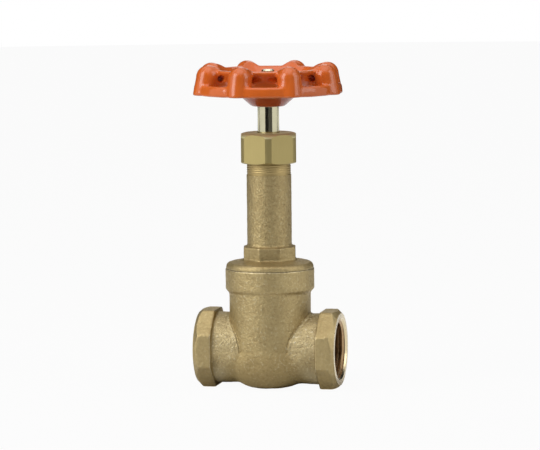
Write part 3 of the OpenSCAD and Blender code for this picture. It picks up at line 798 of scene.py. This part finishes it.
def makeBonnet():
    f = bonnetForm
    top = f["threadZ"] + f["over"]
    turned = lathe([(0, f["skirtZ"]), (f["skirt"], f["skirtZ"]), (f["skirt"], f["joint"]),
                    (f["flange"], f["joint"])]
                   + arc(f["flange"] - f["round"], f["flangeEdge"] - f["round"], f["round"], 0, 90)
                   + [(f["flats"] / 2, f["crown"]), (f["neck"], f["crown"]), (f["neck"], top), (0, top)])
    flats = prism(8, f["flats"], f["flangeEdge"], f["shoulder"], f["turn"])
    slopeFoot = f["shoulder"] - f["slopeLap"]
    slope = lathe([(0, slopeFoot), (f["flats"] / 2 - f["slopeIn"], slopeFoot), (f["neck"], f["neckZ"]),
                   (0, f["neckZ"])])
    piece = together("bonnetCasting", turned, flats, slope)
    voxels(piece, f["voxel"])
    edit(piece, softenBonnet)
    foot = f["skirtZ"] - f["over"]
    room = [(0, foot), (f["skirtIn"], foot), (f["skirtIn"], f["dome"] - f["domeSlope"]),
            (f["bossRoom"], f["dome"] + f["domeSlope"]), (f["bossRoom"], f["screwZ"] - f["screwMouth"]),
            (f["screwBore"], f["screwZ"]), (f["screwBore"], f["screwTop"]),
            (f["screwRoom"], f["screwTop"] + f["screwEase"]), (f["screwRoom"], top), (0, top)]
    cutAway(piece, asObject(lathe(room, steps=96), "room"))
    piece.data.materials.append(finish["neck"])
    shadeSmooth(piece, f["sharp"])
    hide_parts("bonnet")
    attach(piece, "valve_body")


makeBonnet()
print("bonnet cast")

neckThread = {"root": 9.50, "bandRoot": 9.80, "bandCrest": 9.96, "bandTop": 101.75, "sunk": 0.02,
              "chamfer": 0.4, "pitch": 1.0, "lead": 0.7, "turns": 3.9, "sharp": 60}


def makeNeckThread():  # the top of the neck, with the band of thread that shows below the packing nut
    f, t = bonnetForm, neckThread
    sleeve = [(f["screwRoom"], f["threadZ"]), (t["bandRoot"], f["threadZ"]), (t["bandRoot"], t["bandTop"]),
              (t["root"], t["bandTop"]), (t["root"], f["top"] - t["chamfer"]),
              (t["root"] - t["chamfer"], f["top"]), (f["box"], f["top"]), (f["box"], f["boxZ"]),
              (f["stemBore"], f["boxZ"]), (f["stemBore"], f["boxZ"] - f["boxFloor"]),
              (f["screwRoom"], f["backseat"]), (f["screwRoom"], f["threadZ"])]
    root, foot = t["bandRoot"] - t["sunk"], f["threadZ"] + t["lead"]
    ridge = helix(root, t["bandCrest"], t["pitch"], foot, t["turns"], steps=96)
    piece = together("neckThread", lathe(sleeve, steps=128), ridge)
    piece.data.materials.append(finish["screw"])
    shadeSmooth(piece, t["sharp"])
    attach(piece, "valve_body")


makeNeckThread()
print("neck thread cut")

wheelForm = {"voxel": 0.435, "lobes": 8, "firstLobe": 32, "lobeTop": 13.6,
             # core hole behind each lobe
             "eyeR": 1.5, "eyeOut": 23.9, "eyeDrop": 6.0, "eyeLength": 16,
             # outer wall of the dish
             "hubR": 7.4, "hubDrop": 5.8, "slope": 1.106, "lip": 11.0, "swell": 2.3, "wallIn": 0.8,
             "wallSteps": 12,
             # cast skin
             "holeR": 5.6, "rounds": 6, "footZ": 129.4, "footRounds": 14, "skin": ((0.08, 5),),
             "edgeRounds": 16, "edgeDepth": 0.35,
             # shade under the dish and behind the ring
             "hub": 15, "hubFade": 3, "ringIn": 29.6, "ringFade": 2, "outerPaintedShade": 0.35,
             "facing": 0.6, "steep": 2}


def wheelEyes(top):  # a small core hole crosswise behind each lobe
    f = wheelForm
    eyes = bmesh.new()
    radius = f["eyeR"] * mm
    out = Matrix.Translation((f["eyeOut"] * mm, 0, (top - f["eyeDrop"]) * mm))
    crosswise = Matrix.Rotation(math.pi / 2, 4, "X")
    for i in range(f["lobes"]):
        turn = Matrix.Rotation(math.radians(f["firstLobe"] + i * 360 / f["lobes"]), 4, "Z")
        bmesh.ops.create_cone(eyes, cap_ends=True, segments=24, radius1=radius, radius2=radius,
                              depth=f["eyeLength"] * mm, matrix=turn @ out @ crosswise)
    return asObject(eyes, "eyes")


def dishWall(top):  # the outer wall of the dish, swollen between the lobes
    f = wheelForm
    foot = top - f["lobeTop"]
    heights = [f["lip"] * i / f["wallSteps"] for i in range(f["wallSteps"] + 1)]
    plain = [(f["hubR"] + f["slope"] * (z + f["hubDrop"]), z) for z in heights]
    swollen = [(r + f["swell"] * 4 * z * (f["lip"] - z) / f["lip"] ** 2, z) for r, z in plain]
    inside = [(r - f["wallIn"], foot + z) for r, z in plain]
    outside = [(r, foot + z) for r, z in reversed(swollen)]
    return asObject(lathe(inside + outside + inside[:1]), "wall")


def softenWheel(bm):
    f = wheelForm
    skin = [v for v in bm.verts if math.hypot(v.co.x, v.co.y) > f["holeR"] * mm]
    smoothed(bm, skin, f["rounds"])
    smoothed(bm, [v for v in skin if v.co.z < f["footZ"] * mm], f["footRounds"])
    sandSkin(bm, skin, f["skin"])
    edgeMarks(bm, f["edgeRounds"], f["edgeDepth"])
    bm.normal_update()
    # painted shade: a mask of the places under the dish and behind the ring
    paintedShade = bm.verts.layers.float.new("paintedShade")
    for v in bm.verts:
        out = math.hypot(v.co.x, v.co.y) / mm
        near = f["outerPaintedShade"] + (1 - f["outerPaintedShade"]) * clamp((f["hub"] - out) / f["hubFade"])
        behindRing = clamp((f["ringIn"] - out) / f["ringFade"])
        v[paintedShade] = near * behindRing * clamp(f["facing"] - f["steep"] * v.normal.z)


def makeWheel():
    f = wheelForm
    piece = nodeCopy("handwheel", "handwheelCasting")
    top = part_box("handwheel")[1][2] / mm
    wall = dishWall(top)
    edit(piece, lambda bm: bm.from_mesh(wall.data))
    discard(wall)
    voxels(piece, f["voxel"])
    cutAway(piece, wheelEyes(top))
    voxels(piece, f["voxel"])
    edit(piece, softenWheel)
    piece.data.materials.append(finish["enamel"])
    shadeSmooth(piece)
    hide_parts("handwheel")
    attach(piece, "spindle")


makeWheel()
print("handwheel cast")

nutForm = {"corner": 13.55, "outside": 16.0, "low": 101.9, "high": 115.7, "over": 1.0,
           "shoulder": (3.4, 2.3), "foot": (0.9, 0.8),  # width and height of each rounding
           "crown": 0.12, "sharp": 4.5}  # faces that look up by more than crown have its finish, a lighter copy of the nut's brass: painted light


def makeNut():  # its corners are turned down, with a round shoulder on top
    f = nutForm
    shoulderR, shoulderZ = f["shoulder"]
    footR, footZ = f["foot"]
    inR, inZ = f["corner"] - shoulderR, f["high"] - shoulderZ
    dome = [(inR + shoulderR * r, inZ + shoulderZ * z) for r, z in arc(0, 0, 1, 0, 90, 24)]
    above, below = f["high"] + f["over"], f["low"] - f["over"]
    ring = [(f["corner"] - footR, f["low"]), (f["corner"], f["low"] + footZ)] + dome
    ring += [(dome[-1][0], above), (f["outside"], above), (f["outside"], below),
             (f["corner"] - footR, below), ring[0]]
    piece = nodeCopy("packing_nut", "packingNut")
    cutAway(piece, asObject(lathe(ring, steps=240), "ring"))
    dress(piece, "packing_nut", "nut", "valve_body", f["sharp"])
    piece.data.materials.append(finish["crown"])
    for face in piece.data.polygons:
        if face.normal.z > f["crown"]:
            face.material_index = 1


makeNut()

wheelNutForm = {"edge": 0.12, "edgeAngle": 22, "flatAngle": 1.0, "sharp": 30}


def breakEdges(bm):  # rounds the sharp edges
    f = wheelNutForm
    bmesh.ops.dissolve_limit(bm, angle_limit=math.radians(f["flatAngle"]), verts=bm.verts,
                             edges=bm.edges, delimit={"NORMAL"})
    limit = math.radians(f["edgeAngle"])
    edges = [e for e in bm.edges if e.is_manifold and e.calc_face_angle() > limit]
    bmesh.ops.bevel(bm, geom=edges, offset=f["edge"] * mm, offset_type="OFFSET", segments=4,
                    profile=0.5, affect="EDGES", clamp_overlap=True, material=-1)


def makeWheelNut():
    piece = nodeCopy("wheel_nut", "wheelNut")
    edit(piece, breakEdges)
    dress(piece, "wheel_nut", "nut", "spindle", wheelNutForm["sharp"])


makeWheelNut()

plainPieces = {"stem": "stem", "wedge": "bore", "gland": "nut", "wheel_washer": "nut",
               "bonnet_gasket": "gasket", "packing_ring_lower": "packing",
               "packing_ring_middle": "packing", "packing_ring_upper": "packing"}
for nodeName, look in plainPieces.items():  # these keep their CAD shapes
    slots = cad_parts[nodeName].data.materials
    slots.clear()
    slots.append(finish[look])
print("small pieces finished")

# angles in degrees, distance, height and sensor in mm, the picture's own pixels for the lens
shot = {"azimuth": 12.7256, "distance": 1470.19, "height": 214.72, "tilt": 5.8665, "roll": -0.5939,
        "focal": 3267.77, "centreX": 269.26, "centreY": 208.29, "width": 540, "tall": 450,
        "sensor": 36, "nearest": 0.05, "farthest": 50}  # the last two in metres


def makeCamera():
    a, t, r = (math.radians(shot[k]) for k in ("azimuth", "tilt", "roll"))
    forward = Vector((-math.sin(a) * math.cos(t), math.cos(a) * math.cos(t), -math.sin(t)))
    right = Vector((math.cos(a), math.sin(a), 0))
    turn = Matrix((right, right.cross(forward), -forward)).transposed() @ Matrix.Rotation(r, 3, "Z")
    out = shot["distance"]
    place = Vector((out * math.sin(a), -out * math.cos(a), pipeAxis + shot["height"])) * mm
    lens = bpy.data.cameras.new("camera")
    lens.sensor_width = shot["sensor"]
    lens.lens = shot["focal"] * shot["sensor"] / shot["width"]
    lens.shift_x = -(shot["centreX"] - shot["width"] / 2) / shot["width"]
    lens.shift_y = (shot["centreY"] - shot["tall"] / 2) / shot["width"]
    lens.clip_start = shot["nearest"]
    lens.clip_end = shot["farthest"]
    eye = bpy.data.objects.new("camera", lens)
    eye.matrix_world = Matrix.Translation(place) @ turn.to_4x4()
    scene.collection.objects.link(eye)
    scene.camera = eye


makeCamera()
print("camera set")

# lengths in metres, azimuths from the camera's side
studio = {"floor": (0.56, 0.56, 0.55, 1), "floorRough": 0.9, "floorWhite": 0.95, "floorRadius": 3.0,
          "floorDrop": 0.0001, "fill": 0.15, "aim": (0, 0, 0.075)}
lamps = {"leftBox": {"azimuth": -60, "elevation": 31, "distance": 1.0, "wide": 0.52, "tall": 0.78,
                     "power": 5.7},
         "rightBox": {"azimuth": 66, "elevation": 31, "distance": 1.0, "wide": 0.5, "tall": 0.78,
                      "power": 2.5},
         "topBox": {"azimuth": -20, "elevation": 80, "distance": 0.9, "wide": 0.7, "tall": 0.7,
                    "power": 1.8}}
flagOut = 0.46
rearSlot = (0.078, 0.094)  # foot and top of the gap in the rear flags
rearTall = 0.48
flags = {"frontFlag": {"azimuth": -16, "wide": 0.30, "foot": 0, "tall": 0.55, "shade": 0.015},
         "greyFlag": {"azimuth": 22, "wide": 0.33, "foot": 0, "tall": 0.55, "shade": 0.20},
         "leftRearFlag": {"azimuth": -138, "wide": 0.70, "foot": rearSlot[1], "tall": rearTall,
                          "shade": 0.03},
         "leftRearSill": {"azimuth": -138, "wide": 0.70, "foot": 0, "tall": rearSlot[0], "shade": 0.03},
         "rightRearFlag": {"azimuth": 138, "wide": 0.64, "foot": rearSlot[1], "tall": rearTall,
                           "shade": 0.04},
         "rightRearSill": {"azimuth": 138, "wide": 0.64, "foot": 0, "tall": rearSlot[0], "shade": 0.04}}
mat = {"radius": 0.046, "shade": 0.88, "lift": 0.0004}  # lies round the foot of the object


def stationed(azimuth, elevation, distance):  # a place round the object, turned to face it
    a, e = math.radians(azimuth + shot["azimuth"]), math.radians(elevation)
    out = Vector((math.sin(a) * math.cos(e), -math.cos(a) * math.cos(e), math.sin(e)))
    facing = (-out).to_track_quat("-Z", "Y").to_matrix().to_4x4()
    return Matrix.Translation(Vector(studio["aim"]) + out * distance) @ facing


def makeLamps():
    for name, spec in lamps.items():
        light = bpy.data.lights.new(name, "AREA")
        light.shape = "RECTANGLE"
        light.size = spec["wide"]
        light.size_y = spec["tall"]
        light.energy = spec["power"]
        lamp = bpy.data.objects.new(name, light)
        lamp.matrix_world = stationed(spec["azimuth"], spec["elevation"], spec["distance"])
        scene.collection.objects.link(lamp)


def forReflections(bm, name, shade):  # a card that only reflections see
    flag = asObject(bm, name)
    made, wire, shader = newMaterial(name + "Cloth")
    feed(shader, {"Base Color": (shade, shade, shade, 1), "Roughness": 1.0})
    flag.data.materials.append(made)
    flag.visible_camera = False
    flag.visible_diffuse = False
    flag.visible_transmission = False
    flag.visible_shadow = False


def makeFlags():
    for name, spec in flags.items():
        bm = bmesh.new()
        bmesh.ops.create_grid(bm, x_segments=1, y_segments=1, size=0.5)
        rise = Matrix.Translation((0, spec["foot"] + spec["tall"] / 2 - studio["aim"][2], 0))
        size = Matrix.Diagonal((spec["wide"], spec["tall"], 1, 1))
        bmesh.ops.transform(bm, verts=bm.verts, matrix=stationed(spec["azimuth"], 0, flagOut) @ rise @ size)
        forReflections(bm, name, spec["shade"])
    bm = bmesh.new()
    bmesh.ops.create_circle(bm, cap_ends=True, segments=96, radius=mat["radius"],
                            matrix=Matrix.Translation((0, 0, mat["lift"])))
    forReflections(bm, "floorMat", mat["shade"])


def whiteRays(wire):  # 1 for the rays that see a white background
    rays = wire.node("ShaderNodeLightPath").socket.node.outputs
    seen = ("Is Camera Ray", "Is Glossy Ray", "Is Transmission Ray")
    camera, glossy, clear = (Wire(wire.tree, rays[name]) for name in seen)
    total = camera + glossy + clear
    return total.maths("MINIMUM", total, 1.0)


def makeFloor():
    bm = bmesh.new()
    bmesh.ops.create_circle(bm, cap_ends=True, segments=96, radius=studio["floorRadius"])
    floor = asObject(bm, "floor")
    floor.location.z = -studio["floorDrop"]
    made, wire, shader = newMaterial("floorPaper")
    feed(shader, {"Base Color": studio["floor"], "Roughness": studio["floorRough"]})
    white = wire.node("ShaderNodeEmission", None, {"Color": (1, 1, 1, 1), "Strength": 1.0})
    paper = Wire(wire.tree, shader.outputs[0])
    shown = whiteRays(wire) * studio["floorWhite"]
    mixed = wire.node("ShaderNodeMixShader", None, {0: shown, 1: paper, 2: white})
    wire.tree.links.new(mixed.socket, wire.tree.nodes["Material Output"].inputs["Surface"])
    floor.data.materials.append(made)


def makeWorld():
    world = bpy.data.worlds.new("studio")
    world.use_nodes = True
    scene.world = world
    wire = Wire(world.node_tree)
    back = world.node_tree.nodes["Background"]
    strength = whiteRays(wire) * (1 - studio["fill"]) + studio["fill"]
    feed(back, {"Color": (1, 1, 1, 1), "Strength": strength})
    scene.view_settings.view_transform = "Standard"


makeLamps()
makeFlags()
makeFloor()
makeWorld()
print("studio lit")
